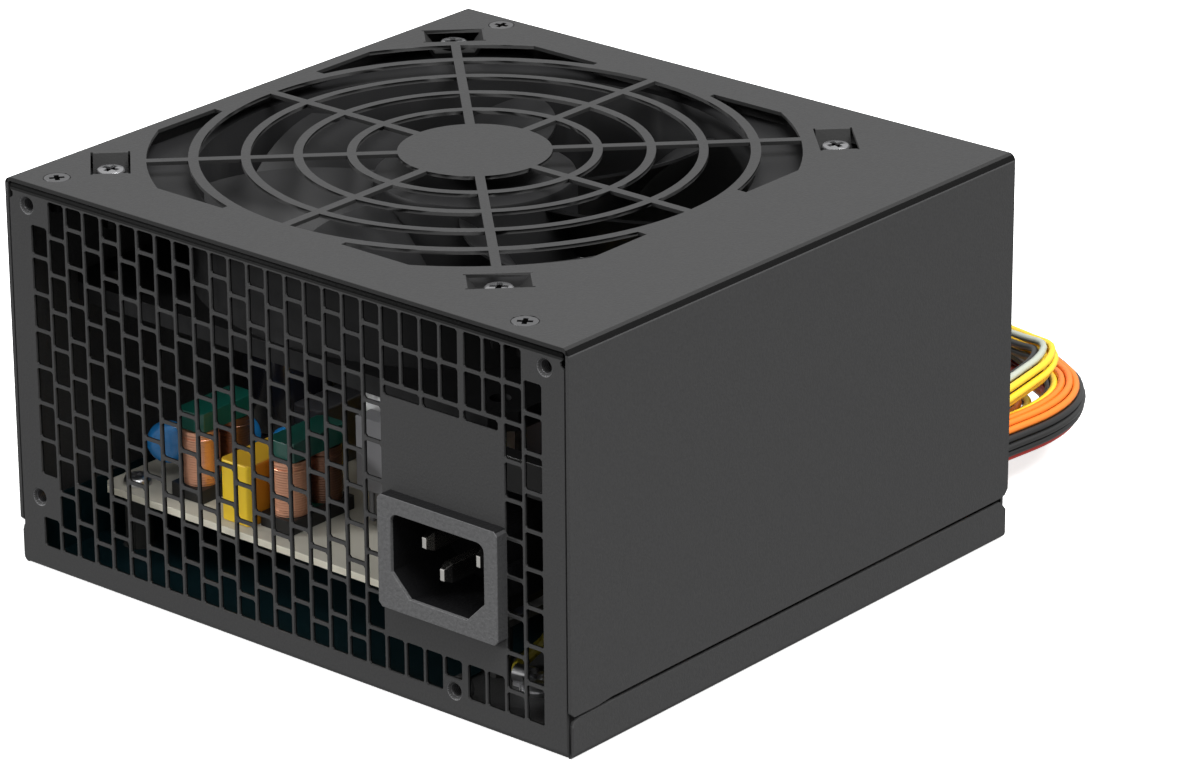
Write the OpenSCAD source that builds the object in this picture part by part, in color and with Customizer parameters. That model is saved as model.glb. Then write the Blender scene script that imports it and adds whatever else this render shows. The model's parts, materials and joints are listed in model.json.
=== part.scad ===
// ATX power supply unit with a 120 mm top fan.
// Frame: +Z up, fan grille on top, mains inlet panel facing -Y,
// origin at the centre of the underside. Millimetres.

/* [Case] */
// Width of the case, across the inlet panel
case_w = 150; // [148:1:152]
// Depth of the case, from the inlet panel to the cable panel
case_d = 140; // [138:1:142]
// Height of the case
case_h = 85; // [84:0.5:86]
// Sheet steel thickness
sheet = 0.8; // [0.6:0.1:1]
// Height of the base's side strips
strip_h = 8.5; // [7:0.5:10]

/* [Vent pattern] */
// Width of one vent slot
slot_w = 4.5; // [4:0.1:4.6]
// Column pitch of the vent slots
slot_pitch = 5.03; // [5:0.01:5.1]
// Row pitch of the vent slots
row_pitch = 8.02; // [7.8:0.01:8.1]
// Web left between two slots in a column
row_web = 0.6; // [0.5:0.1:1]
// Corner chamfer of a slot
slot_c = 0.45; // [0.3:0.05:0.7]

/* [Fan] */
// Fan centre, X
fan_x = -11.8; // [-13:0.1:-10]
// Fan centre, Y
fan_y = 2; // [0:0.1:3]
// Fan frame width
fan_w = 120; // [119:0.5:120]
// Fan frame thickness
fan_t = 25; // [24:0.5:25]
// Number of fan blades
blades = 7; // [5:1:9]

/* [Inlet] */
// Inlet centre, X
inlet_x = 43.7; // [42:0.1:45]
// Inlet centre, Z
inlet_z = 32.5; // [31:0.1:34]

/* [Cables] */
// Cable exit, X
exit_x = 55; // [54:0.5:56]
// Cable exit, Z
exit_z = 17; // [16.5:0.5:18]

/* [Hidden] */
$fn = 48;
e = 0.01;
hw = case_w / 2;
hd = case_d / 2;
pan = hw - 1.2;                    // half width of the panels between the cover's walls
fold_z = case_h - sheet - 1.3;     // where the panels start to bend into their top flanges
fan_top = case_h - 3.6;            // top face of the fan frame, under the cover's sunk seats
fan_bot = fan_top - fan_t;
pcb_z = 13;                        // underside of the board
pcb_t = 1.6;
pz = pcb_z + pcb_t;                // top face of the board
flo = sheet;                       // inside floor

// ---------- helpers ----------
module slot2d(x0, x1, z0, z1, c = slot_c) {
  polygon([[x0 + c, z0], [x1 - c, z0], [x1, z0 + c], [x1, z1 - c], [x1 - c, z1], [x0 + c, z1], [x0, z1 - c], [x0, z0 + c]]);
}
// a sheet drawn in X-Z, its outer face at y = yf, thickness t towards +Y
module xz_sheet(yf, t) { translate([0, yf + t, 0]) rotate([90, 0, 0]) linear_extrude(t) children(); }
// a sheet drawn in Y-Z, its lowest face at x = xf, thickness t towards +X
module yz_sheet(xf, t) { translate([xf, 0, 0]) rotate([90, 0, 90]) linear_extrude(t) children(); }
// quarter bend of outer radius r, from -90 degrees to 0 in the plane of the drawing
module bend2d(r, t) { difference() { intersection() { circle(r); translate([0, -r]) square(r); } circle(r - t); } }
module bar(p, s) { translate(p) cube(s); }
module rod(p, r, h) { translate(p) cylinder(r = r, h = h); }
module yrod(p, r, h) { translate(p) rotate([-90, 0, 0]) cylinder(r = r, h = h); }
module xrod(p, r, h) { translate(p) rotate([0, 90, 0]) cylinder(r = r, h = h); }
module cross_recess(p, w, h) { translate(p) { translate([-w / 2, -w / 7, 0]) cube([w, w / 3.5, h]); translate([-w / 7, -w / 2, 0]) cube([w / 3.5, w, h]); } }
module rbox2d(w, h, r) { hull() for (x = [-1, 1], y = [-1, 1]) translate([x * (w / 2 - r), y * (h / 2 - r)]) circle(r, $fn = 16); }

// vectors for the swept tubes
function vunit(v) = v / norm(v);
function tang(P, i) = vunit(i == 0 ? P[1] - P[0] : i == len(P) - 1 ? P[i] - P[i - 1] : vunit(P[i + 1] - P[i]) + vunit(P[i] - P[i - 1]));
function side(t) = abs(t[2]) > 0.95 ? vunit(cross(t, [0, 1, 0])) : vunit(cross(t, [0, 0, 1]));
module tube(P, d, n = 8) {
  r = d / 2;
  pts = [for (i = [0:len(P) - 1]) let (t = tang(P, i), u = side(t), v = cross(u, t)) for (k = [0:n - 1]) P[i] + r * (u * cos(360 * k / n) + v * sin(360 * k / n))];
  m = len(P);
  faces = concat([[for (k = [0:n - 1]) k]], [[for (k = [n - 1:-1:0]) (m - 1) * n + k]],
    [for (i = [0:m - 2]) for (k = [0:n - 1]) let (a = i * n + k, b = i * n + (k + 1) % n) [b, a, a + n, b + n]]);
  polyhedron(points = pts, faces = faces, convexity = 6);
}

// ---------- top cover ----------
seat_x = 52.5;
screw_pos = [[-60.7, 66.1], [-66.1, -64], [58.9, -63.8]];
seat_off = 0.5;                    // the sunk seats sit this far towards +X and -Y of the fan's screw holes
module grille2d() {
  difference() {
    union() {
      circle(r = 56.4, $fn = 96);
      intersection() { difference() { circle(r = 67, $fn = 96); circle(r = 58.5, $fn = 96); }
        difference() { square([117.4, 115.4], center = true); square([200, 31], center = true); square([32, 200], center = true); } }
    }
    circle(r = 15.9, $fn = 64);
    for (r = [25.2, 36.1, 46.8]) difference() { circle(r = r + 0.95, $fn = 96); circle(r = r - 0.95, $fn = 96); }
    for (a = [0:45:135]) rotate(a) square([140, 2], center = true);
  }
}
module top_cover() color([0.13, 0.13, 0.135]) {
  R = 1.6;
  difference() {
    union() {
      translate([-hw + R, -hd, case_h - sheet]) cube([case_w - 2 * R, case_d, sheet]);
      for (s = [0, 1]) mirror([s, 0, 0]) {
        translate([hw - R, hd, case_h - R]) rotate([90, 0, 0]) linear_extrude(case_d) mirror([0, 1]) bend2d(R, sheet);
        yz_sheet(hw - sheet, sheet) polygon([[-hd, 10], [-hd + 0.9, 9.1], [-hd + 8, 9.1], [-hd + 12, 9.5], [hd - 2.2, 9.5], [hd - 1, 9.8], [hd, 11], [hd, case_h - R], [-hd, case_h - R]]);
      }
    }
    translate([fan_x, fan_y, case_h - 2]) linear_extrude(3) grille2d();
    for (i = [0:3]) translate([fan_x + seat_off, fan_y - seat_off, 0]) rotate(45 + 90 * i) translate([seat_x * sqrt(2) - 4.05, -6.75, case_h - 2]) cube([8.1, 13.5, 3]);
    for (p = screw_pos) translate([p[0], p[1], case_h - sheet - e]) cylinder(r1 = 2.2, r2 = 2.9, h = sheet + 2 * e);
  }
  // sunk seats that carry the fan
  for (i = [0:3]) difference() {
    translate([fan_x + seat_off, fan_y - seat_off, 0]) rotate(45 + 90 * i) translate([seat_x * sqrt(2) + 3.6, 0, 0]) rotate([90, 0, -90]) linear_extrude(7.2)
      polygon([[-7.1, case_h], [-7.1, case_h - sheet], [-6.5, case_h - sheet], [-4.6, fan_top], [4.6, fan_top], [6.5, case_h - sheet], [7.1, case_h - sheet], [7.1, case_h], [6.3, case_h], [4.25, fan_top + sheet], [-4.25, fan_top + sheet], [-6.3, case_h]]);
    translate([fan_x, fan_y, 0]) rotate(45 + 90 * i) translate([seat_x * sqrt(2), 0, fan_top - 1]) cylinder(r = 2.3, h = 4);
  }
}
module phillips_flat(p) translate([p[0], p[1], 0]) difference() {
  union() { translate([0, 0, case_h - 1.45]) cylinder(r1 = 1.65, r2 = 2.72, h = 1.45 - 0.06); translate([0, 0, case_h - 7]) cylinder(r = 1.6, h = 5.6); }
  cross_recess([0, 0, case_h - 1.1], 3.1, 2);
}
module cover_screws() color([0.2, 0.2, 0.21]) for (p = screw_pos) phillips_flat(p);

// ---------- base shell ----------
atx = [[-69, 80], [69, 80], [-69, 16], [45, 6]];
web0 = 77.45;
function webs(k) = [for (j = [0:8]) (k % 2 == 0 ? web0 : web0 - 3) - j * row_pitch];
module col(x0, z0, z1, k) {
  W = [for (z = webs(k)) if (z > z0 + 0.4 && z < z1 - 0.4) z];
  E = concat([z1 + row_web / 2], W, [z0 - row_web / 2]);
  for (j = [0:len(E) - 2]) slot2d(x0, x0 + slot_w, E[j + 1] + row_web / 2, E[j] - row_web / 2);
}
x_first = -68.05;
x_right = 48.6;
module vents2d() {
  col(x_first, 21.4, 76.2, 0);
  slot2d(x_first, x_first + slot_w, 5.3, 12);
  for (k = [1:18]) col(x_first + k * slot_pitch, 5.3, 82.2, k);
  for (k = [19:22]) { x = x_first + k * slot_pitch; col(x, 66.7, 82.2, 1); slot2d(x, x + slot_w, k == 22 ? 8.7 : 5.3, 12.9); }
  for (k = [0, 1]) { x = x_right + k * slot_pitch; col(x, 66.7, 82.2, 1); slot2d(x, x + slot_w, 5.3, 12.9); }
  col(x_right + 2 * slot_pitch, 5.3, 82.2, 1);
  col(x_right + 3 * slot_pitch, 5.3, 76.2, 0);
  for (s = [[27.7, 37.2], [37.75, 47.4], [48.3, 57.2]]) slot2d(s[0], s[1], 63.8, 66.1, 0.5);
}
module base_shell() color([0.12, 0.12, 0.125]) {
  R = 1.3;
  // floor and long side strips
  translate([-hw + R, -hd + R, 0]) cube([case_w - 2 * R, case_d - 2 * R, sheet]);
  for (s = [0, 1]) mirror([s, 0, 0]) {
    translate([hw - R, hd - 0.6, R]) rotate([90, 0, 0]) linear_extrude(case_d - 1.2) bend2d(R, sheet);
    yz_sheet(hw - sheet, sheet) polygon([[-hd + 0.6, R], [hd - 0.6, R], [hd - 0.6, strip_h - 2], [hd - 2.4, strip_h], [-hd + 2.4, strip_h], [-hd + 0.9, strip_h - 0.6], [-hd + 0.6, strip_h - 1.6]]);
  }
  // inlet panel
  difference() {
    union() {
      translate([-pan, -hd + R, R]) rotate([90, 0, 90]) linear_extrude(2 * pan) mirror([1, 0]) bend2d(R, sheet);
      xz_sheet(-hd, sheet) difference() {
        polygon([[-pan, R], [pan, R], [pan, 80.5], [pan - 0.9, 81.2], [pan - 0.9, 82.1], [pan - 0.3, 82.5], [pan - 0.3, fold_z], [-pan + 0.3, fold_z], [-pan + 0.3, 82.5], [-pan + 0.9, 82.1], [-pan + 0.9, 81.2], [-pan, 80.5]]);
        vents2d();
        polygon([[inlet_x - 13.6, inlet_z + 10.1], [inlet_x + 13.6, inlet_z + 10.1], [inlet_x + 13.6, inlet_z - 5.5], [inlet_x + 9, inlet_z - 10.1], [inlet_x - 9, inlet_z - 10.1], [inlet_x - 13.6, inlet_z - 5.5]]);
      }
      // drawn collars of the threaded holes
      for (p = atx) yrod([p[0], -hd + sheet, p[1]], 2.6, 2.2);
      // top flange that takes the cover screws
      translate([-72, -hd + R, case_h - 2 * sheet]) cube([144, 8.5, sheet]);
      translate([-pan + 0.3, -hd + R, fold_z]) rotate([90, 0, 90]) linear_extrude(2 * pan - 0.6) mirror([1, 0]) mirror([0, 1]) bend2d(R, sheet);
      for (s = [0, 1]) mirror([s, 0, 0]) translate([pan - sheet, -hd + sheet, 10]) cube([sheet, 7, 71]);
    }
    for (p = atx) { yrod([p[0], -hd - 1, p[1]], 1.42, 5); translate([p[0], -hd - e, p[1]]) rotate([-90, 0, 0]) cylinder(r1 = 2, r2 = 1.42, h = 0.5); }
    for (i = [1, 2]) translate([screw_pos[i][0], screw_pos[i][1], case_h - 3]) cylinder(r = 2.45, h = 4);
  }
  // cable panel
  difference() {
    union() {
      translate([-pan, hd - R, R]) rotate([90, 0, 90]) linear_extrude(2 * pan) bend2d(R, sheet);
      xz_sheet(hd - sheet, sheet) difference() {
        polygon([[-pan, R], [pan, R], [pan, 80.5], [pan - 0.9, 81.2], [pan - 0.9, 82.1], [pan - 0.3, 82.5], [pan - 0.3, fold_z], [-pan + 0.3, fold_z], [-pan + 0.3, 82.5], [-pan + 0.9, 82.1], [-pan + 0.9, 81.2], [-pan, 80.5]]);
        translate([exit_x, exit_z]) circle(13.2);
      }
      translate([-72, hd - 8, case_h - 2 * sheet]) cube([144, 8 - R, sheet]);
      translate([-pan + 0.3, hd - R, fold_z]) rotate([90, 0, 90]) linear_extrude(2 * pan - 0.6) mirror([0, 1]) bend2d(R, sheet);
      for (s = [0, 1]) mirror([s, 0, 0]) translate([pan - sheet, hd - 7 - sheet, 36]) cube([sheet, 7, 45]);
    }
    translate([screw_pos[0][0], screw_pos[0][1], case_h - 3]) cylinder(r = 2.45, h = 4);
  }
}

// ---------- fan ----------
module at_fan() { translate([fan_x, fan_y, fan_bot]) children(); }
module fan_plate2d() { difference() { hull() for (x = [-1, 1], y = [-1, 1]) translate([x * (fan_w / 2 - 5), y * (fan_w / 2 - 5)]) circle(5); circle(r = 57.5, $fn = 96); for (x = [-1, 1], y = [-1, 1]) translate([x * seat_x, y * seat_x]) circle(2.15); } }
module fan_frame() color([0.06, 0.06, 0.065]) at_fan() {
  difference() {
    union() {
      difference() { union() { cylinder(r = 59.2, h = fan_t, $fn = 96);
        for (x = [-1, 1], y = [-1, 1], z = [0, fan_t - 4]) translate([min(x * 38, x * 60), min(y * 38, y * 60), z]) cube([22, 22, 4]);
        for (z = [0, fan_t - 4]) translate([-60, -60, z]) difference() { cube([120, 120, 4]); } }
        translate([0, 0, -1]) cylinder(r = 57.5, h = fan_t + 2, $fn = 96);
        for (a = [0:90:270]) rotate(a) translate([60, 60, -1]) rotate(45) translate([-3, -20, 0]) cube([20, 40, fan_t + 2]); }
      // motor base and its four stays
      cylinder(r = 22, h = 3);
      for (a = [20:90:290]) rotate(a) translate([18, -2.5, 0]) cube([40.5, 5, 4]);
      cylinder(r = 4.5, h = 19);
    }
    for (x = [-1, 1], y = [-1, 1]) translate([x * seat_x, y * seat_x, -1]) cylinder(r = 2.15, h = fan_t + 2);
    translate([0, 0, 3.2]) cylinder(r = 3.25, h = 20);
  }
}
module blade() {
  intersection() {
    difference() { translate([0, 0, 5.2]) cylinder(r = 55.6, h = 17.6, $fn = 96); translate([0, 0, 4]) cylinder(r = 20.5, h = 22); }
    translate([18, 0, 14]) rotate([-38, 0, 0]) translate([0, -18, -0.9]) cube([42, 36, 1.8]);
  }
}
module fan_rotor() color([0.07, 0.07, 0.075]) at_fan() {
  difference() {
    translate([0, 0, 4.4]) cylinder(r = 21, h = 19.6);
    translate([0, 0, 3]) cylinder(r = 19.4, h = 19.4);
  }
  difference() { translate([0, 0, 19.6]) cylinder(r = 4, h = 2.9); translate([0, 0, 19]) cylinder(r = 1.5, h = 3.4); }
  for (i = [0:blades - 1]) rotate(i * 360 / blades + 12) blade();
}
module fan_shaft() color("silver") at_fan() translate([0, 0, 3.8]) cylinder(r = 1.5, h = 18.6);
module fan_magnet_ring() color([0.35, 0.35, 0.36]) at_fan() difference() { translate([0, 0, 5.4]) cylinder(r = 19.4, h = 14.6); translate([0, 0, 5]) cylinder(r = 17.6, h = 16); }
module fan_bearing() color([0.72, 0.55, 0.3]) at_fan() difference() { translate([0, 0, 3.2]) cylinder(r = 3.25, h = 15); translate([0, 0, 3]) cylinder(r = 1.54, h = 16); }
module fan_stator() color([0.65, 0.35, 0.2]) at_fan() translate([0, 0, 7]) difference() {
  union() { translate([0, 0, 3.5]) intersection() { cylinder(r = 16.6, h = 3); for (a = [0, 90]) rotate(a) translate([-17, -9, 0]) cube([34, 18, 3]); }
    for (a = [0:90:270]) rotate(a) translate([6.5, -4.2, 0.5]) cube([6.4, 8.4, 9]); cylinder(r = 7, h = 10); }
  translate([0, 0, -1]) cylinder(r = 4.5, h = 13);
}
module fan_board() color([0.1, 0.35, 0.2]) at_fan() difference() { translate([0, 0, 3]) cylinder(r = 16, h = 1.2); translate([0, 0, 2]) cylinder(r = 4.5, h = 4); }
module fan_screws() color([0.25, 0.25, 0.26]) for (x = [-1, 1], y = [-1, 1]) translate([fan_x + x * seat_x, fan_y + y * seat_x, fan_top + sheet]) difference() {
  union() { cylinder(r = 2.95, h = 1.15); translate([0, 0, 1.15]) cylinder(r1 = 2.95, r2 = 2.6, h = 0.25); translate([0, 0, -11]) cylinder(r = 2.0, h = 11 + e); }
  cross_recess([0, 0, 0.4], 3.2, 2);
}
module fan_lead() color([0.1, 0.1, 0.1]) {
  for (k = [0, 1]) tube([[0 + k, -8 - 1.8 * k, fan_bot - 1.3], [12 + k, -14 - 1.8 * k, fan_bot - 3.4], [25 + k, -18.4 - 1.8 * k, 46], [32 + k, -20 - 1.8 * k, 35], [33.6, -20.1 - 1.8 * k, 25], [33.6, -20.1 - 1.8 * k, pz + 6.5]], 1.5, 8);
}
module fan_plug() color([0.9, 0.9, 0.86]) difference() { translate([30.4, -24, pz]) cube([6.4, 7.6, 6.5]); translate([31.6, -23, pz + 2]) cube([6, 5.6, 3]); }

// ---------- mains inlet ----------
module c14_2d(w, h, c, r = 1.8) {
  polygon(concat([[-w / 2 + c, -h / 2], [w / 2 - c, -h / 2], [w / 2, -h / 2 + c]],
    [for (a = [0:22.5:90]) [w / 2 - r + r * cos(a), h / 2 - r + r * sin(a)]],
    [for (a = [90:22.5:180]) [-w / 2 + r + r * cos(a), h / 2 - r + r * sin(a)]], [[-w / 2, -h / 2 + c]]));
}
module at_inlet(y) { translate([inlet_x, y, inlet_z]) rotate([90, 0, 0]) children(); }
module inlet_housing() color([0.08, 0.08, 0.085]) {
  difference() {
    union() {
      at_inlet(-hd) linear_extrude(3) polygon([[-14.6, -11.9], [14.6, -11.9], [15.4, -11.1], [15.4, 11.1], [14.6, 11.9], [-14.6, 11.9], [-15.4, 11.1], [-15.4, -11.1]]);
      at_inlet(-52.5) linear_extrude(hd - 52.5) c14_2d(27, 20, 4.4);
      // snap ears behind the panel
      for (s = [-1, 1]) translate([inlet_x + s * 13.9 - 0.9, -hd + sheet + 0.1, inlet_z - 3]) cube([1.8, 6, 6]);
    }
    at_inlet(-55.5) linear_extrude(20) c14_2d(24.1, 17.1, 4.6);
    for (p = [[-7, 2.2], [7, 2.2], [0, -1.7]]) translate([inlet_x + p[0] - 1, -58, inlet_z + p[1] - 2]) cube([2, 12, 4]);
  }
}
module inlet_pin(x, z, y0) translate([inlet_x + x, 0, inlet_z + z]) intersection() {
  translate([0, 0, -3]) linear_extrude(6) polygon([[-0.5, y0], [0.5, y0], [1, y0 + 2], [1, -46.5], [-1, -46.5], [-1, y0 + 2]]);
  yz_sheet(-2, 4) polygon([[y0, -1.2], [y0 + 2, -2], [-46.5, -2], [-46.5, 2], [y0 + 2, 2], [y0, 1.2]]);
}
module inlet_pins() color([0.85, 0.85, 0.86]) { inlet_pin(-7, 2.2, -68.9); inlet_pin(7, 2.2, -68.9); inlet_pin(0, -1.7, -71.6); }
module inlet_live_wire() color([0.45, 0.24, 0.1]) tube([[inlet_x - 7, -46.5, inlet_z + 2.2], [inlet_x - 7, -43, inlet_z + 2.4], [inlet_x - 9, -41, 29], [inlet_x - 12.6, -41, 22], [inlet_x - 13, -41, pz + 3], [inlet_x - 13, -41, pz + 0.1]], 3, 8);
module inlet_neutral_wire() color([0.15, 0.3, 0.7]) tube([[inlet_x + 7, -46.5, inlet_z + 2.2], [inlet_x + 6, -42, inlet_z + 2], [inlet_x, -39.2, 29], [inlet_x - 5.6, -40, 22], [inlet_x - 6, -40, pz + 3], [inlet_x - 6, -40, pz + 0.1]], 3, 8);
module inlet_earth_wire() color([0.75, 0.75, 0.15]) tube([[inlet_x, -46.5, inlet_z - 1.7], [47.4, -44, 27.5], [49.5, -43, 20], [48.6, -42.4, 13], [45.4, -43.4, 7.4], [43, -46.4, 4.2], [43.2, -49.2, 3.2], [44.2, -50.3, 3]], 2.6, 8);
module earth_terminal() color([0.8, 0.8, 0.8]) {
  difference() { union() { rod([50, -51, flo], 3.6, 0.8); bar([44.6, -52.4, flo], [3, 2.8, 0.8]); translate([44.3, -50.9, 3]) rotate([0, 90, 8]) cylinder(r = 1.9, h = 4.4); } rod([50, -51, 0], 1.8, 5); }
  difference() { union() { rod([50, -51, flo + 0.8], 3.1, 2); rod([50, -51, flo], 1.8, 2); } cross_recess([50, -51, flo + 1.8], 3.6, 3); }
}

// ---------- board and its parts ----------
pcb_x0 = -67;
pcb_x1 = 44;
pcb_y0 = -54.5;
pcb_y1 = 58;
pcb_holes = [[-61, -49.5], [38.5, -49.5], [-61, 52.5], [36, 52.5]];
module main_pcb() color([0.82, 0.78, 0.64]) difference() {
  translate([0, 0, pcb_z]) linear_extrude(pcb_t) polygon([[pcb_x0 + 2, pcb_y0], [pcb_x1, pcb_y0], [pcb_x1, pcb_y1 - 14], [pcb_x1 - 4, pcb_y1 - 14], [pcb_x1 - 4, pcb_y1], [pcb_x0, pcb_y1], [pcb_x0, pcb_y0 + 2]]);
  for (p = pcb_holes) rod([p[0], p[1], pcb_z - 1], 1.8, 4);
}
module insulation_sheet() color([0.03, 0.09, 0.1]) {
  difference() { bar([-71, -66.5, flo], [107, 130, 0.3]); for (p = pcb_holes) rod([p[0], p[1], 0], 3.6, 3); }
  bar([-71.3, -66.5, flo], [0.3, 130, 13]);
}
module pcb_standoffs() color([0.75, 0.65, 0.35]) for (p = pcb_holes) difference() { translate([p[0], p[1], flo]) cylinder(r = 3, h = pcb_z - flo, $fn = 6); rod([p[0], p[1], 3], 1.6, 20); }
module pcb_screws() color([0.8, 0.8, 0.82]) for (p = pcb_holes) translate([p[0], p[1], pz]) difference() {
  union() { cylinder(r = 3, h = 1.2); translate([0, 0, 1.2]) cylinder(r1 = 3, r2 = 2, h = 0.9); translate([0, 0, -6]) cylinder(r = 1.6, h = 6 + e); }
  cross_recess([0, 0, 0.9], 3.2, 3);
}
module soft_box(p, s, c = 0.8) { translate(p) linear_extrude(s[2]) polygon([[c, 0], [s[0] - c, 0], [s[0], c], [s[0], s[1] - c], [s[0] - c, s[1]], [c, s[1]], [0, s[1] - c], [0, c]]); }
module x_capacitors() color([0.95, 0.72, 0.1]) { soft_box([-34.8, -52, pz], [8.3, 17, 13.5]); soft_box([-42.6, -22, pz], [8, 17, 14]); }
module y_capacitors() color([0.1, 0.35, 0.65]) for (p = [[-52, -28], [-40, -28]]) { yrod([p[0], p[1], pz + 6.5], 4, 3.2); bar([p[0] - 3, p[1] + 1.3, pz], [0.6, 0.6, 4]); bar([p[0] + 2.4, p[1] + 1.3, pz], [0.6, 0.6, 4]); }
module varistor() color([0.1, 0.36, 0.68]) { translate([-57.5, -43, pz + 8.6]) rotate([0, 0, 35]) { rotate([-90, 0, 0]) translate([0, 0, -1.9]) cylinder(r = 5.2, h = 3.8); for (s = [-1, 1]) translate([s * 2.6 - 0.3, -0.3, -8.6]) cube([0.6, 0.6, 5]); } }
// mains filter chokes: two upright coils each, on the legs of a taped core frame
chokes = [[-46.9, -40], [-21.6, -40]];
coil_y = 4.9;
module choke_cores() color([0.05, 0.42, 0.34]) for (p = chokes) translate([p[0], p[1], 0]) {
  soft_box([-3.6, -8.3, pz + 15.1], [7.2, 16.6, 4.2], 1);
  soft_box([-2.6, -8.3, pz + 0.7], [5.2, 16.6, 2.2], 0.5);
  for (y = [-1, 1]) rod([0, y * coil_y, pz + 2.8], 2.4, 12.4);
}
module choke_windings() color([0.78, 0.45, 0.3]) for (p = chokes, y = [-1, 1]) translate([p[0], p[1] + y * coil_y, pz + 3.1]) difference() {
  union() { cylinder(r = 4.1, h = 11.8); }
  translate([0, 0, -1]) cylinder(r = 2.5, h = 14);
}
module choke_bases() color([0.05, 0.05, 0.05]) for (p = chokes) difference() {
  translate([p[0] - 4.4, p[1] - 9.4, pz]) cube([8.8, 18.8, 3]);
  translate([p[0] - 2.7, p[1] - 8.4, pz + 0.6]) cube([5.4, 16.8, 3]);
}
module bridge_rectifier() color([0.08, 0.08, 0.08]) { bar([22, -34.4, pz + 8], [22, 3.6, 17]); for (i = [0:3]) bar([24.2 + i * 5.4, -33, pz], [1.2, 0.8, 8]); }
module bulk_capacitors() color([0.1, 0.1, 0.12]) for (p = [[-55, -8], [-55, 17]]) difference() { union() { rod([p[0], p[1], pz], 10.9, 34); } for (a = [0, 60, 120]) translate([p[0], p[1], pz + 33.6]) rotate(a) cube([9, 0.8, 1.4], center = true); }
module fins(n, w, h, p) { for (i = [0:n - 1]) bar([p[0] + i * w / (n - 1) - (i == n - 1 ? 1.2 : 0), p[1], p[2]], [1.2, 9, h]); }
module primary_heatsink() color([0.72, 0.72, 0.73]) { bar([-14, -30.8, pz + 5], [31, 3, 24]); fins(4, 30, 21, [-13.5, -27.8, pz + 8]); for (x = [-13, 13]) bar([x, -30.8, pz], [3, 3, 5]); }
module secondary_heatsink() color([0.72, 0.72, 0.73]) { bar([-38, 34, pz + 3], [70, 3, 32]); fins(8, 69, 26, [-37.5, 37, pz + 9]); for (x = [-35, 26]) bar([x, 34, pz], [3, 3, 3]); }
module power_transistors() color([0.06, 0.06, 0.06]) for (x = [-12, 3]) { bar([x, -35.4, pz + 7.6], [10, 4.6, 16]); for (i = [0:2]) bar([x + 1.6 + i * 2.7, -33.4, pz], [1, 0.7, 7.6]); }
module output_rectifiers() color([0.06, 0.06, 0.06]) for (x = [-32, -14, 4]) { bar([x, 29.4, pz + 7.6], [14, 4.6, 18]); for (i = [0:2]) bar([x + 1.8 + i * 4.7, 31.4, pz], [1.2, 0.8, 7.6]); }
module transformer_core() color([0.16, 0.16, 0.17]) difference() { translate([-20, -13, pz + 4]) cube([34, 30, 28]); translate([-14.5, -15, pz + 9]) cube([23, 34, 18]); }
module transformer_winding() color([0.85, 0.72, 0.25]) { difference() { soft_box([-14.2, -16, pz + 9.3], [22.4, 35.4, 17.4], 3); } bar([-16, -16, pz], [26, 35.4, 3.6]); for (y = [-14.2, 17.2], i = [0:4]) bar([-13 + i * 5, y, pz + 3.5], [1, 1, 6]); }
module standby_transformer() color([0.86, 0.76, 0.3]) { soft_box([-33, -8, pz + 3], [10, 16, 13], 1.5); bar([-34, -9, pz], [12, 18, 3]); bar([-34, -4, pz + 3], [0.95, 8, 14]); bar([-22.95, -4, pz + 3], [0.95, 8, 14]); bar([-34, -4, pz + 17], [12, 8, 2]); }
module output_choke_core() color([0.8, 0.75, 0.2]) translate([25, 4, pz + 11]) rotate([0, 90, 0]) difference() { translate([0, 0, -4.5]) cylinder(r = 10, h = 9); translate([0, 0, -5]) cylinder(r = 5, h = 10); }
module output_choke_winding() color([0.75, 0.42, 0.25]) translate([25, 4, pz + 11]) rotate([0, 90, 0]) for (s = [0:60:300]) rotate(s) difference() {
  intersection() { translate([0, 0, -5.7]) cylinder(r = 10.9, h = 11.4); translate([0, 0, -6]) linear_extrude(12) polygon([[0, 0], [14 * cos(24), -14 * sin(24)], [14 * cos(24), 14 * sin(24)]]); }
  translate([0, 0, -7]) cylinder(r = 4, h = 14);
  difference() { translate([0, 0, -4.5]) cylinder(r = 10, h = 9); translate([0, 0, -5]) cylinder(r = 5, h = 10); }
}
module output_capacitors() color([0.1, 0.1, 0.11]) for (p = [[20, 22], [32, 22], [-8, 24.4], [4, 24.4], [-29, 24.4], [-40.2, 24.4]]) rod([p[0], p[1], pz], 4.6, p[1] < 23 ? 24 : 20);
module mains_fuse() color([0.85, 0.85, 0.8]) { xrod([12, -51.3, pz + 3.2], 2.6, 20); for (x = [12.4, 27.6]) bar([x, -53.8, pz], [4, 5, 1]); }
module thermistor() color([0.12, 0.25, 0.2]) { yrod([19, -42, pz + 7], 5, 3.6); for (x = [16.6, 20.8]) bar([x, -40.6, pz], [0.7, 0.7, 5]); }
module control_board() color([0.1, 0.32, 0.18]) bar([-64, 31, pz], [1.6, 16, 24]);
module control_chips() color([0.07, 0.07, 0.07]) { bar([-62.4, 33, pz + 6], [2.4, 7, 14]); bar([-62.4, 41.5, pz + 8], [1.6, 4.5, 6]); }

// ---------- cables ----------
arc1 = [33, 100];     // first turn, behind the cable panel
r1 = 22;
arc2 = [-53.7, 130.8];   // far turn of the loom
r2 = 39;
run_a = [44, 119];       // straight run between the turns
module cable_grommet() color([0.06, 0.06, 0.06]) translate([exit_x, hd, exit_z]) rotate([-90, 0, 0]) difference() {
  union() { cylinder(r = 14.6, h = 2); translate([0, 0, -sheet]) cylinder(r = 13.2, h = sheet + e); translate([0, 0, -sheet - 2]) cylinder(r = 14.4, h = 2); }
  translate([0, 0, -5]) cylinder(r = 12, h = 10);
}
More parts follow.
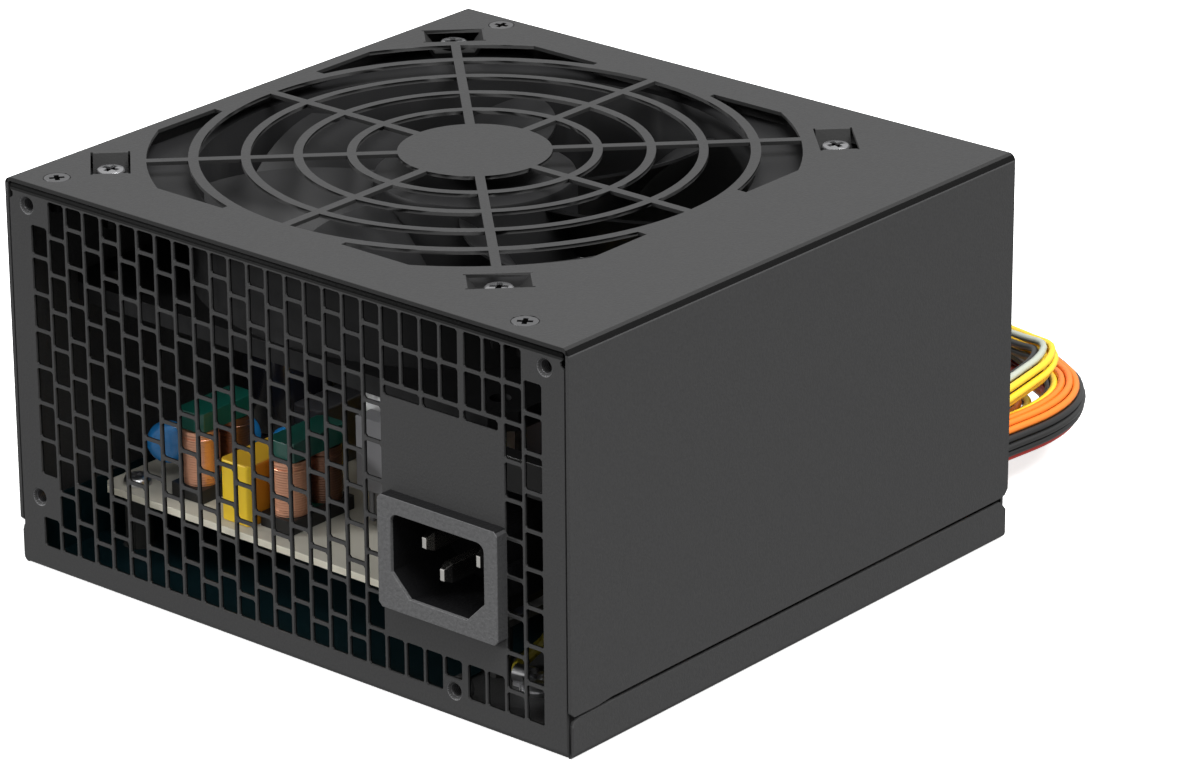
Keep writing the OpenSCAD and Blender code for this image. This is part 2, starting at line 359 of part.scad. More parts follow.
// one lead's route: its place in the exit, its height along the way, its offset from the loom's line
function lead(ex, ez, o, oz, h) = concat(
  [[exit_x + ex, 69, exit_z + ez], [exit_x + ex, 82, exit_z + ez]],
  [for (i = [0:3]) [arc1[0] + (r1 + (i < 3 ? oz : (o + oz) / 2)) * cos(20 * i), arc1[1] + (r1 + (i < 3 ? oz : (o + oz) / 2)) * sin(20 * i), h[i]]],
  [for (i = [0:2]) let (s = [30, 60, 92][i]) [run_a[0] - 0.866 * s + o * 0.5, run_a[1] + 0.5 * s + o * 0.866, h[i + 4]]],
  [for (i = [1:8]) [arc2[0] + (r2 + o) * cos(60 + 26.25 * i), arc2[1] + (r2 + o) * sin(60 + 26.25 * i), h[6]]]);
atx_route = concat(lead(4.6, -4.7, 6, 6, [12.3, 12.3, 12.1, 11.2, 9.2, 7, 6.2]),
  [[-46, 85.3, 7.8], [-40, 85.2, 11.6], [-34, 87.4, 16], [-28, 92.4, 18.6], [-23.5, 97, 19.2], [-19, 98.5, 19.2]]);
cpu_route = concat(lead(3.5, 3.9, -2.4, 1.5, [21.2, 21.4, 21.2, 20, 15.6, 11.8, 10.3]),
  [[-38, 94.2, 10.3], [-24, 93.2, 9.6], [-10, 89.5, 7.4], [2, 85, 5.4], [11, 83, 4.8], [20, 82.5, 4.8]]);
sata_route = concat(lead(-4.4, -6.8, -2.6, -2.6, [10, 9.6, 8.8, 7.4, 5.6, 4.4, 4.1]),
  [[-38, 94.6, 4.1], [-22, 96, 3.6], [-9, 99.6, 2.9], [-2, 101.6, 2.6], [4, 102, 2.6]]);
peripheral_route = concat(lead(-8.4, -1.2, -8.1, -8.1, [15.2, 14.2, 12.4, 10, 6.6, 4.6, 3.9]),
  [[-46, 99.9, 3.9]], [for (a = [300:30:420]) [-46 + 16 * cos(a), 115.9 + 16 * sin(a), 3.9]], [[-46, 131.9, 3.9], [-50, 131.9, 4]]);
module atx_cable() color([0.12, 0.12, 0.12]) tube(atx_route, 9.6, 12);
module cpu_cable() color([0.9, 0.75, 0.1]) tube(cpu_route, 6.5, 8);
module sata_cable() color([0.8, 0.3, 0.1]) tube(sata_route, 5.2, 8);
module peripheral_cable() color([0.7, 0.1, 0.1]) tube(peripheral_route, 4.8, 8);
// tie around the laid loom, its strap passing under it
module loom_tie(p, a) translate([p[0], p[1], 0]) rotate(a) translate([0, 2, 0]) rotate([90, 0, 0]) linear_extrude(4) difference() {
  polygon([[-12.6, 0], [13, 0], [13, 9], [8, 15.4], [-9, 15.4], [-12.6, 12]]);
  polygon([[-11.6, 1.1], [11.9, 1.1], [11.9, 8.8], [7.4, 14.4], [-8.6, 14.4], [-11.6, 11.6]]);
}
module cable_ties() color([0.9, 0.9, 0.88]) {
  loom_tie([run_a[0] - 0.866 * 76, run_a[1] + 0.5 * 76], 60);
  loom_tie([arc2[0] + r2 * cos(178.125), arc2[1] + r2 * sin(178.125)], 178.125);
}
// plug housing lying flat: n by m cells, mating end towards +X
module housing(n, m, pitch, len, wall = 1.2) {
  w = (n - 1) * pitch + pitch + wall; h = (m - 1) * pitch + pitch + wall;
  difference() {
    translate([0, -w / 2, 0]) cube([len, w, h]);
    for (i = [0:n - 1], j = [0:m - 1]) translate([len - 8, -w / 2 + wall / 2 + (i + 0.5) * pitch - 1.2, wall / 2 + (j + 0.5) * pitch - 1.2]) cube([9, 2.4, 2.4]);
  }
  translate([len * 0.3, -2.2, h - e]) cube([len * 0.6, 4.4, 2.2]);
}
module atx_connector() color([0.1, 0.1, 0.1]) translate([-19, 98.5, 14.4]) { translate([0, -4.5, 0]) housing(10, 2, 4.2, 24); translate([0, 21.6, 0]) housing(2, 2, 4.2, 24); }
module cpu_connector() color([0.1, 0.1, 0.1]) translate([20, 82.5, 0]) { translate([0, -4.9, 0]) housing(2, 2, 4.2, 21); translate([0, 4.9, 0]) housing(2, 2, 4.2, 21); }
module sata_connector() color([0.1, 0.1, 0.1]) translate([4, 102, 0]) difference() {
  union() { translate([0, -12, 0]) cube([15.5, 24, 5.2]); }
  translate([8, -10.4, 1.5]) cube([9, 20.8, 1.3]); translate([8, 9.1, 1.5]) cube([9, 1.3, 2.6]);
}
module peripheral_connector() color([0.92, 0.92, 0.88]) translate([-50, 131.9, 0]) difference() {
  translate([-20, 0, 0]) rotate([90, 0, 90]) linear_extrude(20) polygon([[-10.4, 0], [10.4, 0], [10.4, 6], [8.6, 8], [-8.6, 8], [-10.4, 6]]);
  for (i = [0:3]) translate([-21, -7.62 + i * 5.08, 4]) rotate([0, 90, 0]) cylinder(r = 1.7, h = 9);
}

top_cover();
base_shell();
cover_screws();
fan_frame();
fan_rotor();
fan_shaft();
fan_magnet_ring();
fan_bearing();
fan_stator();
fan_board();
fan_screws();
fan_lead();
fan_plug();
inlet_housing();
inlet_pins();
inlet_live_wire();
inlet_neutral_wire();
inlet_earth_wire();
earth_terminal();
main_pcb();
insulation_sheet();
pcb_standoffs();
pcb_screws();
x_capacitors();
y_capacitors();
varistor();
choke_cores();
choke_windings();
choke_bases();
bridge_rectifier();
bulk_capacitors();
primary_heatsink();
secondary_heatsink();
power_transistors();
output_rectifiers();
transformer_core();
transformer_winding();
standby_transformer();
output_choke_core();
output_choke_winding();
output_capacitors();
mains_fuse();
thermistor();
control_board();
control_chips();
cable_grommet();
cable_ties();
atx_cable();
cpu_cable();
sata_cable();
peripheral_cable();
atx_connector();
cpu_connector();
sata_connector();
peripheral_connector();
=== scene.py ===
import bpy, math, json
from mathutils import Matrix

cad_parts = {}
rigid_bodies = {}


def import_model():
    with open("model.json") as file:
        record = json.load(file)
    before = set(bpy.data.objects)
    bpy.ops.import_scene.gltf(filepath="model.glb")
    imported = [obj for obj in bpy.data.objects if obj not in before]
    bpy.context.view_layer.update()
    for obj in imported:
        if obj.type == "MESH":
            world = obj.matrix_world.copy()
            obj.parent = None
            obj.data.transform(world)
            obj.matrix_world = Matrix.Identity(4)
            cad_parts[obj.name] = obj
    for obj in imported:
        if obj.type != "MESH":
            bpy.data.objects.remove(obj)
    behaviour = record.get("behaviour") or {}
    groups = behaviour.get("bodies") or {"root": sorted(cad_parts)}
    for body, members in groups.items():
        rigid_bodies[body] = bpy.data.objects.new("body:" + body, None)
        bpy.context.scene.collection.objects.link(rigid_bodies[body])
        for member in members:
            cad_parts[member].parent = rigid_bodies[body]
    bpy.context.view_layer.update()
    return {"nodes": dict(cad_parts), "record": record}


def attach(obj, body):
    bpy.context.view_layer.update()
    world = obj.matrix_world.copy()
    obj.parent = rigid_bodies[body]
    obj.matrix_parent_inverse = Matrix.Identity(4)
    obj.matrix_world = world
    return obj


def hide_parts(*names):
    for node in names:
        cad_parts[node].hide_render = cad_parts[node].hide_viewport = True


for o in list(bpy.data.objects):
    bpy.data.objects.remove(o)
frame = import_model()
from mathutils import Vector, Matrix

N = frame["nodes"]
scene = bpy.context.scene
rad = math.radians

# ---------------------------------------------------------------- camera
cam_data = bpy.data.cameras.new("camera")
cam = bpy.data.objects.new("camera", cam_data)
scene.collection.objects.link(cam)
scene.camera = cam
R_ = Vector((0.76306, 0.64633, -0.00553)); D_ = Vector((0.23860, -0.28962, -0.92692)); F_ = Vector((-0.60069, 0.70597, -0.37521))
m = Matrix.Identity(4)
for i in range(3):
    m[i][0], m[i][1], m[i][2] = R_[i], -D_[i], -F_[i]
m[0][3], m[1][3], m[2][3] = 0.717157, -0.815699, 0.476804
cam.matrix_world = m
cam_data.lens = 170.633
cam_data.sensor_width = 36
cam_data.clip_start = 0.05
cam_data.clip_end = 50
cam_data.dof.use_dof = False
scene.view_settings.view_transform = "Standard"
scene.view_settings.look = "None"

# ---------------------------------------------------------------- materials
def node_mat(name, color, rough=0.5, metal=0.0, spec=0.5, coat=0.0, bump=0.0, scale=1500.0, mottle=0.0, transmission=0.0, sheen=0.0):
    mt = bpy.data.materials.new(name)
    mt.use_nodes = True
    nt = mt.node_tree
    b = nt.nodes["Principled BSDF"]
    b.inputs["Base Color"].default_value = (*color, 1)
    b.inputs["Roughness"].default_value = rough
    b.inputs["Metallic"].default_value = metal
    b.inputs["Specular IOR Level"].default_value = spec
    b.inputs["Coat Weight"].default_value = coat
    b.inputs["Transmission Weight"].default_value = transmission
    if bump > 0 or mottle > 0:
        tc = nt.nodes.new("ShaderNodeTexCoord")
        nz = nt.nodes.new("ShaderNodeTexNoise")
        nz.inputs["Scale"].default_value = scale
        nz.inputs["Detail"].default_value = 3
        nt.links.new(tc.outputs["Object"], nz.inputs["Vector"])
        if bump > 0:
            bp = nt.nodes.new("ShaderNodeBump")
            bp.inputs["Strength"].default_value = bump
            bp.inputs["Distance"].default_value = 0.0002
            nt.links.new(nz.outputs["Fac"], bp.inputs["Height"])
            nt.links.new(bp.outputs["Normal"], b.inputs["Normal"])
        if mottle > 0:
            rp = nt.nodes.new("ShaderNodeValToRGB")
            rp.color_ramp.elements[0].position = 0.3
            rp.color_ramp.elements[1].position = 0.7
            rp.color_ramp.elements[0].color = (*[c * (1 - mottle) for c in color], 1)
            rp.color_ramp.elements[1].color = (*[min(1, c * (1 + mottle)) for c in color], 1)
            nt.links.new(nz.outputs["Fac"], rp.inputs["Fac"])
            nt.links.new(rp.outputs["Color"], b.inputs["Base Color"])
    return mt

def zone_mat(name, base, tests, color, rough=0.5):
    """base with a second colour where every (axis, low, high) test on the place in metres holds; axis 3 is |x|."""
    mt = base.copy(); mt.name = name
    nt = mt.node_tree
    b = nt.nodes["Principled BSDF"]
    tc = nt.nodes.new("ShaderNodeTexCoord"); sp = nt.nodes.new("ShaderNodeSeparateXYZ")
    nt.links.new(tc.outputs["Object"], sp.inputs[0])
    ab = nt.nodes.new("ShaderNodeMath"); ab.operation = "ABSOLUTE"; nt.links.new(sp.outputs[0], ab.inputs[0])
    outs = [sp.outputs[0], sp.outputs[1], sp.outputs[2], ab.outputs[0]]
    total = None
    for axis, low, high in tests:
        m1 = nt.nodes.new("ShaderNodeMath"); m1.operation = "GREATER_THAN"; m1.inputs[1].default_value = low; nt.links.new(outs[axis], m1.inputs[0])
        m2 = nt.nodes.new("ShaderNodeMath"); m2.operation = "LESS_THAN"; m2.inputs[1].default_value = high; nt.links.new(outs[axis], m2.inputs[0])
        for mm in (m1, m2):
            if total is None:
                total = mm
            else:
                t = nt.nodes.new("ShaderNodeMath"); t.operation = "MULTIPLY"
                nt.links.new(total.outputs[0], t.inputs[0]); nt.links.new(mm.outputs[0], t.inputs[1]); total = t
    mix = nt.nodes.new("ShaderNodeMix"); mix.data_type = "RGBA"
    old = b.inputs["Base Color"].links[0].from_socket if b.inputs["Base Color"].links else None
    if old:
        nt.links.new(old, mix.inputs["A"])
    else:
        mix.inputs["A"].default_value = b.inputs["Base Color"].default_value
    mix.inputs["B"].default_value = (*color, 1)
    nt.links.new(total.outputs[0], mix.inputs["Factor"])
    nt.links.new(mix.outputs["Result"], b.inputs["Base Color"])
    sm = nt.nodes.new("ShaderNodeMapRange")
    sm.inputs["To Min"].default_value = b.inputs["Specular IOR Level"].default_value
    if b.inputs["Specular IOR Level"].links:
        nt.links.new(b.inputs["Specular IOR Level"].links[0].from_socket, sm.inputs["To Min"])
    sm.inputs["To Max"].default_value = 0.06
    nt.links.new(total.outputs[0], sm.inputs["Value"])
    nt.links.new(sm.outputs["Result"], b.inputs["Specular IOR Level"])
    return mt

MAT = {
    "black_steel": node_mat("black_steel", (0.040, 0.040, 0.0404), 0.55, spec=0.21, bump=0.30, scale=1900, mottle=0.08),
    "dark_screw": node_mat("dark_screw", (0.15, 0.15, 0.155), 0.34, metal=0.55, bump=0.1),
    "grey_screw": node_mat("grey_screw", (0.42, 0.42, 0.43), 0.27, metal=0.85, bump=0.08, scale=900),
    "black_plastic": node_mat("black_plastic", (0.013, 0.013, 0.0135), 0.5, spec=0.2, bump=0.08),
    "steel": node_mat("steel", (0.62, 0.62, 0.63), 0.28, metal=1.0),
    "magnet": node_mat("magnet", (0.05, 0.05, 0.05), 0.6),
    "brass": node_mat("brass", (0.72, 0.55, 0.25), 0.3, metal=1.0),
    "copper": node_mat("copper", (0.93, 0.47, 0.30), 0.3, metal=0.85, coat=0.35),
    "green_board": node_mat("green_board", (0.03, 0.20, 0.08), 0.35),
    "white_plastic": node_mat("white_plastic", (0.56, 0.56, 0.52), 0.45),
    "black_lead": node_mat("black_lead", (0.02, 0.02, 0.02), 0.4),
    "inlet_black": node_mat("inlet_black", (0.092, 0.092, 0.094), 0.5, spec=0.24, bump=0.8, scale=1300, mottle=0.12),
    "nickel": node_mat("nickel", (0.82, 0.80, 0.76), 0.2, metal=1.0),
    "brown_lead": node_mat("brown_lead", (0.16, 0.06, 0.02), 0.4),
    "blue_lead": node_mat("blue_lead", (0.03, 0.12, 0.5), 0.4),
    "green_yellow_lead": node_mat("green_yellow_lead", (0.32, 0.26, 0.02), 0.4),
    "cream_board": node_mat("cream_board", (0.86, 0.82, 0.68), 0.5, mottle=0.06, scale=120),
    "teal_sheet": node_mat("teal_sheet", (0.003, 0.012, 0.015), 0.3, spec=0.3),
    "yellow_film": node_mat("yellow_film", (0.98, 0.66, 0.02), 0.35, coat=0.3),
    "blue_disc": node_mat("blue_disc", (0.02, 0.24, 0.62), 0.25, coat=0.8),
    "green_core": node_mat("green_core", (0.004, 0.080, 0.058), 0.3, coat=0.8),
    "black_part": node_mat("black_part", (0.014, 0.014, 0.014), 0.45, spec=0.35),
    "can_sleeve": node_mat("can_sleeve", (0.02, 0.02, 0.03), 0.22, coat=0.4),
    "aluminium": node_mat("aluminium", (0.46, 0.46, 0.46), 0.42, metal=0.5, bump=0.05, scale=400),
    "ferrite": node_mat("ferrite", (0.05, 0.05, 0.055), 0.5, metal=0.3),
    "yellow_core": node_mat("yellow_core", (0.75, 0.62, 0.06), 0.4),
    "fuse_white": node_mat("fuse_white", (0.8, 0.8, 0.74), 0.3),
    "thermistor_dark": node_mat("thermistor_dark", (0.03, 0.07, 0.045), 0.4),
    "lead_loom": node_mat("lead_loom", (0.03, 0.03, 0.03), 0.4),
    "black_connector": node_mat("black_connector", (0.025, 0.025, 0.026), 0.45, bump=0.1),
}
for sp in frame["record"]["subparts"]:
    o = N[sp["node"]]
    o.data.materials.clear()
    o.data.materials.append(MAT[sp["material_slot"]])
# painted reflection: the top cover is a little darker over the rounded bends between the top and the sides
cover = zone_mat("cover_soft_bend_painted_reflection", MAT["black_steel"], [(3, 0.0735, 1), (2, 0.0838, 1)], (0.030, 0.030, 0.030))
# painted reflection: a near-black band along those bends, standing in for the dark surroundings they reflect
cover = zone_mat("cover_bend_painted_reflection", cover, [(3, 0.0742, 1), (2, 0.0837, 0.0847)], (0.004, 0.004, 0.004))
# painted shade: inside the sides, the top cover below its top face (screw seats, their ramps, sides of the grille
# rings) is darker
cover = zone_mat("cover_seats_painted_shade", cover, [(3, -1, 0.072), (1, -0.069, 0.069), (2, 0.079, 0.08492)], (0.022, 0.022, 0.022))
# painted shade: the front cut edge of the top cover and a thin strip just behind it are darker
cover = zone_mat("cover_cut_edge_painted_shade", cover, [(3, -1, 0.0735), (1, -1, -0.0698), (2, 0.0841, 1)], (0.028, 0.028, 0.028))
# painted shadow: near-black in the groove along the front top fold of the base shell
shell = zone_mat("shell_fold_painted_shadow", MAT["black_steel"], [(1, -1, -0.0650), (2, 0.0830, 1)], (0.0012, 0.0012, 0.0012))
# painted shadow: a softer dark strip just under that groove
shell = zone_mat("shell_soft_fold_painted_shadow", shell, [(1, -1, -0.0650), (2, 0.0825, 0.0830)], (0.018, 0.018, 0.018))
# painted shade: near-black on the walls inside the rear panel's slots
shell = zone_mat("shell_slot_walls_painted_shade", shell, [(1, -0.06955, -0.0691), (2, 0.002, 0.0824), (3, -1, 0.0735)], (0.004, 0.004, 0.004))
power = zone_mat("capped_transistor", MAT["black_part"], [(0, -0.013, -0.0015)], (0.23, 0.23, 0.24))
# painted shade: near-black inside the inlet's recess and behind its front face
inlet = zone_mat("inlet_recess_painted_shade", MAT["inlet_black"], [(1, -0.0722, 0)], (0.006, 0.006, 0.0065))
# painted shade: the right side of the inlet's flange is darker
inlet = zone_mat("inlet_side_painted_shade", inlet, [(0, 0.0575, 1), (1, -0.0728, -0.0699)], (0.046, 0.046, 0.047))
# painted shade: the top side of the inlet's flange is near-black
inlet = zone_mat("inlet_top_painted_shade", inlet, [(1, -0.0728, 0), (2, 0.0441, 1)], (0.010, 0.010, 0.0105))
dark_standoff = node_mat("dark_standoff", (0.03, 0.03, 0.028), 0.5)
# painted shade: the board's top face is darker than its cut edges
board = zone_mat("board_top_painted_shade", MAT["cream_board"], [(2, 0.01456, 1)], (0.52, 0.50, 0.43))
# painted shade: the board's right end, from x 36 mm, is dark grey
board = zone_mat("board_end_painted_shade", board, [(0, 0.036, 1)], (0.085, 0.085, 0.082))
for n, mt in (("pcb_standoffs", dark_standoff), ("main_pcb", board), ("base_shell", shell), ("power_transistors", power), ("inlet_housing", inlet), ("top_cover", cover)):
    N[n].data.materials[0] = mt
WIRE = {
    "w": node_mat("wire_grey", (0.42, 0.45, 0.38), 0.35),
    "y": node_mat("wire_yellow", (0.86, 0.58, 0.03), 0.35),
    "o": node_mat("wire_orange", (0.80, 0.20, 0.02), 0.35),
    "k": node_mat("wire_black", (0.018, 0.018, 0.018), 0.32),
    "r": node_mat("wire_red", (0.62, 0.03, 0.02), 0.35),
    "g": node_mat("wire_green", (0.03, 0.30, 0.08), 0.35),
    "b": node_mat("wire_blue", (0.03, 0.10, 0.50), 0.35),
    "p": node_mat("wire_purple", (0.20, 0.04, 0.35), 0.35),
}

# ---------------------------------------------------------------- helpers
def link(o, body="case"):
    if o.name not in scene.collection.objects:
        scene.collection.objects.link(o)
    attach(o, body)
    return o

def mesh_obj(name, verts, faces, mats, idx=None, smooth=True, body="case"):
    me = bpy.data.meshes.new(name)
    me.from_pydata([tuple(v) for v in verts], [], faces)
    for mt in mats:
        me.materials.append(mt)
    if idx:
        me.polygons.foreach_set("material_index", idx)
    me.polygons.foreach_set("use_smooth", [smooth] * len(me.polygons))
    me.update()
    return link(bpy.data.objects.new(name, me), body)

def catmull(P, step):
    """A smooth line through P, with a point about every step."""
    P = [Vector(p) for p in P]
    P = [P[0] * 2 - P[1]] + P + [P[-1] * 2 - P[-2]]
    out = []
    for i in range(1, len(P) - 2):
        p0, p1, p2, p3 = P[i - 1:i + 3]
        t = [0.0]
        for a, b in ((p0, p1), (p1, p2), (p2, p3)):
            t.append(t[-1] + max(1e-9, (b - a).length) ** 0.5)
        n = max(1, round((p2 - p1).length / step))
        for k in range(n):
            u = t[1] + (t[2] - t[1]) * k / n
            A1 = p0.lerp(p1, (u - t[0]) / (t[1] - t[0])); A2 = p1.lerp(p2, (u - t[1]) / (t[2] - t[1])); A3 = p2.lerp(p3, (u - t[2]) / (t[3] - t[2]))
            B1 = A1.lerp(A2, (u - t[0]) / (t[2] - t[0])); B2 = A2.lerp(A3, (u - t[1]) / (t[3] - t[1]))
            out.append(B1.lerp(B2, (u - t[1]) / (t[2] - t[1])))
    out.append(P[-2])
    return out

def frames(P):
    """Tangent, sideways and upward directions along P; sideways stays level."""
    out, last = [], None
    for i in range(len(P)):
        t = (P[min(i + 1, len(P) - 1)] - P[max(i - 1, 0)]).normalized()
        s = t.cross(Vector((0, 0, 1)))
        s = last if s.length < 1e-4 and last else s.normalized()
        last = s
        out.append((t, s, s.cross(t)))
    return out

def tube_into(verts, faces, P, r, n=8, cap=True):
    base = len(verts)
    for i, (t, s, u) in enumerate(frames(P)):
        for k in range(n):
            a = 2 * math.pi * k / n
            verts.append(P[i] + r * (math.cos(a) * s + math.sin(a) * u))
    for i in range(len(P) - 1):
        for k in range(n):
            a, b = base + i * n + k, base + i * n + (k + 1) % n
            faces.append((a, b, b + n, a + n))
    if cap:
        faces.append(tuple(base + k for k in reversed(range(n))))
        faces.append(tuple(base + (len(P) - 1) * n + k for k in range(n)))

def hash01(i, j=0):
    return math.sin(i * 12.9898 + j * 78.233) * 43758.5453 % 1.0

# ---------------------------------------------------------------- output leads
MM = 0.001
EX, EZ = 55.0, 17.0
A1, RR1, A2, RR2, RUN = (33, 100), 22, (-53.7, 130.8), 39, (44, 119)
def cs(a): return math.cos(rad(a))
def sn(a): return math.sin(rad(a))
def lead(ex, ez, o, oz, h):
    P = [(EX + ex, 69, EZ + ez), (EX + ex, 82, EZ + ez)]
    for i in range(4):
        r = RR1 + (oz if i < 3 else (o + oz) / 2)
        P.append((A1[0] + r * cs(20 * i), A1[1] + r * sn(20 * i), h[i]))
    for i, s in enumerate((30, 60, 92)):
        P.append((RUN[0] - 0.866 * s + o * 0.5, RUN[1] + 0.5 * s + o * 0.866, h[i + 4]))
    for i in range(1, 9):
        P.append((A2[0] + (RR2 + o) * cs(60 + 26.25 * i), A2[1] + (RR2 + o) * sn(60 + 26.25 * i), h[6]))
    return P
ROUTES = {
    "atx": lead(4.6, -4.7, 6, 6, [12.3, 12.3, 12.1, 11.2, 9.2, 7, 6.2]) + [(-46, 85.3, 7.8), (-40, 85.2, 11.6), (-34, 87.4, 16), (-28, 92.4, 18.6), (-23.5, 97, 19.2), (-19, 98.5, 19.2)],
    "cpu": lead(3.5, 3.9, -2.4, 1.5, [21.2, 21.4, 21.2, 20, 15.6, 11.8, 10.3]) + [(-38, 94.2, 10.3), (-24, 93.2, 9.6), (-10, 89.5, 7.4), (2, 85, 5.4), (11, 83, 4.8), (20, 82.5, 4.8)],
    "sata": lead(-4.4, -6.8, -2.6, -2.6, [10, 9.6, 8.8, 7.4, 5.6, 4.4, 4.1]) + [(-38, 94.6, 4.1), (-22, 96, 3.6), (-9, 99.6, 2.9), (-2, 101.6, 2.6), (4, 102, 2.6)],
    "peripheral": lead(-8.4, -1.2, -8.1, -8.1, [15.2, 14.2, 12.4, 10, 6.6, 4.6, 3.9]) + [(-46, 99.9, 3.9)]
        + [(-46 + 16 * cs(a), 115.9 + 16 * sn(a), 3.9) for a in range(300, 421, 30)] + [(-46, 131.9, 3.9), (-50, 131.9, 4)],
}
# strands as (distance from the middle, angle, colour); angle 0 is the outer side, 90 the top
STRANDS = {
    "atx": (9.6, [(4.0, a, c) for a, c in zip(range(96, -264, -24), "oookkkrkyrkorky")] + [(2.3, a, c) for a, c in zip(range(20, 380, 60), "ygkrpk")] + [(0.6, 0, "k"), (1.0, 180, "b")]),
    "cpu": (6.5, [(2.35, a, c) for a, c in zip(range(95, -265, -51), "wyyykkk")] + [(0, 0, "y")]),
    "sata": (5.2, [(1.75, a, c) for a, c in zip(range(60, -300, -72), "ykrko")]),
    "peripheral": (4.8, [(1.5, a, c) for a, c in zip(range(60, -300, -90), "ykkr")]),
}
leads = {}
def build_lead(key):
    d, strands = STRANDS[key]
    P = [Vector(p) * MM for p in catmull(ROUTES[key], 2.5)]
    F = frames(P)
    L = sum((P[i + 1] - P[i]).length for i in range(len(P) - 1))
    verts, faces, idx, mats = [], [], [], []
    rw = 0.8
    for j, (dist, ang, c) in enumerate(strands):
        Q, run = [], 0.0
        for i, p in enumerate(P):
            if i:
                run += (P[i] - P[i - 1]).length
            free = min(1.0, max(0.0, (run - 0.045) / 0.05))
            a = rad(ang) + free * 1.6 * math.sin(run * 22 + 1.3 * hash01(j)) * 0.55
            k = dist * (1 + 0.10 * free * math.sin(run * 70 + 6.28 * hash01(j, 1)))
            t, s, u = F[i]
            Q.append(p + MM * k * (math.cos(a) * s + math.sin(a) * u))
        n0 = len(faces)
        tube_into(verts, faces, Q, rw * MM, 8)
        if WIRE[c] not in mats:
            mats.append(WIRE[c])
        idx += [mats.index(WIRE[c])] * (len(faces) - n0)
    o = mesh_obj("lead_" + key, verts, faces, mats, idx)
    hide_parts(key + "_cable")
    leads[key] = (o, L)
    return o
for key in ROUTES:
    build_lead(key)

# ---------------------------------------------------------------- detailed pieces
def lathe(name, profile, n, mats, place=None, body="case", smooth=True, sharp=35):
    """profile is (radius, height) from bottom to top; a zero radius closes an end. In millimetres."""
    verts, faces, rings = [], [], []
    for r, z in profile:
        if r < 1e-6:
            rings.append([len(verts)]); verts.append(Vector((0, 0, z)))
        else:
            rings.append(list(range(len(verts), len(verts) + n)))
            verts += [Vector((r * math.cos(2 * math.pi * k / n), r * math.sin(2 * math.pi * k / n), z)) for k in range(n)]
    for A, B in zip(rings, rings[1:]):
        for k in range(n):
            a, b, c, d = A[k % len(A)], A[(k + 1) % len(A)], B[(k + 1) % len(B)], B[k % len(B)]
            f = [a, b] + ([c, d] if len(B) > 1 else [c])
            f = f if len(A) > 1 else [a, c, d]
            if len(set(f)) >= 3:
                faces.append(tuple(dict.fromkeys(f)))
    M = (place or Matrix.Identity(4))
    vs = [(M @ v) * MM for v in verts]
    o = mesh_obj(name, vs, faces, mats, smooth=smooth, body=body)
    o.data.set_sharp_from_angle(angle=rad(sharp))
    return o

def place(x, y, z, rx=0, ry=0, rz=0):
    return Matrix.Translation((x, y, z)) @ Matrix.Rotation(rad(rz), 4, "Z") @ Matrix.Rotation(rad(ry), 4, "Y") @ Matrix.Rotation(rad(rx), 4, "X")

def box_mesh(M, lo, hi):
    vs = [M @ Vector((x, y, z)) for z in (lo[2], hi[2]) for y in (lo[1], hi[1]) for x in (lo[0], hi[0])]
    fs = [(0, 2, 3, 1), (4, 5, 7, 6), (0, 1, 5, 4), (2, 6, 7, 3), (0, 4, 6, 2), (1, 3, 7, 5)]
    return vs, fs

def boxes(name, items, mats, body="case", slot=None, bevel=0.15):
    """items: (matrix, low corner, high corner, material index) in millimetres, joined in one mesh."""
    verts, faces, idx = [], [], []
    for it in items:
        vs, fs = box_mesh(*it[:3])
        b = len(verts)
        verts += [v * MM for v in vs]
        faces += [tuple(b + i for i in f) for f in fs]
        idx += [it[3] if len(it) > 3 else 0] * 6
    o = mesh_obj(name, verts, faces, mats, idx, smooth=False, body=body)
    if bevel:
        add_bevel(o, bevel)
    return o

def add_bevel(o, w, seg=2, angle=35, weld=False):
    if weld:
        wm = o.modifiers.new("weld", "WELD"); wm.merge_threshold = 2e-6
    b = o.modifiers.new("bevel", "BEVEL")
    b.width, b.segments, b.limit_method, b.angle_limit = w * MM, seg, "ANGLE", rad(angle)
    b.use_clamp_overlap = True
    b.harden_normals = False
    return o

def wire_obj(name, paths, r, mat, body="case", n=8):
    verts, faces = [], []
    for P in paths:
        tube_into(verts, faces, [Vector(p) * MM for p in P], r * MM, n)
    return mesh_obj(name, verts, faces, [mat], body=body)

def cut(o, cutters):
    """Cuts the closed meshes in cutters out of o for good."""
    dg = bpy.context.evaluated_depsgraph_get
    for c in cutters:
        md = o.modifiers.new("cut", "BOOLEAN")
        md.operation, md.object, md.solver = "DIFFERENCE", c, "EXACT"
    bpy.context.view_layer.update()
    me = bpy.data.meshes.new_from_object(o.evaluated_get(dg()))
    old = o.data
    o.modifiers.clear()
    o.data = me
    bpy.data.meshes.remove(old)
    for c in cutters:
        bpy.data.objects.remove(c)
    return o

def temp_boxes(items):
    verts, faces = [], []
    for M, lo, hi in items:
        vs, fs = box_mesh(M, lo, hi)
        b = len(verts)
        verts += [v * MM for v in vs]
        faces += [tuple(b + i for i in f) for f in fs]
    me = bpy.data.meshes.new("cutter"); me.from_pydata([tuple(v) for v in verts], [], faces); me.update()
    o = bpy.data.objects.new("cutter", me); scene.collection.objects.link(o)
    return o

def phillips(name, centres, profile, recess_w, recess_z, mat, turn=(10, 52, 33, 71), depth=1.4):
    made = []
    for i, c in enumerate(centres):
        M = place(*c, rz=turn[i % len(turn)])
        o = lathe(f"{name}_{i + 1}", profile, 40, [mat], M, sharp=50)
        w, t = recess_w / 2, recess_w / 6.2
        k1 = temp_boxes([(M, (-w, -t, recess_z - depth), (w, t, recess_z + 3))])
        k2 = temp_boxes([(M, (-t, -w, recess_z - depth), (t, w, recess_z + 3))])
        cut(o, [k1, k2])
        o.data.set_sharp_from_angle(angle=rad(50))
        made.append(o)
    return made

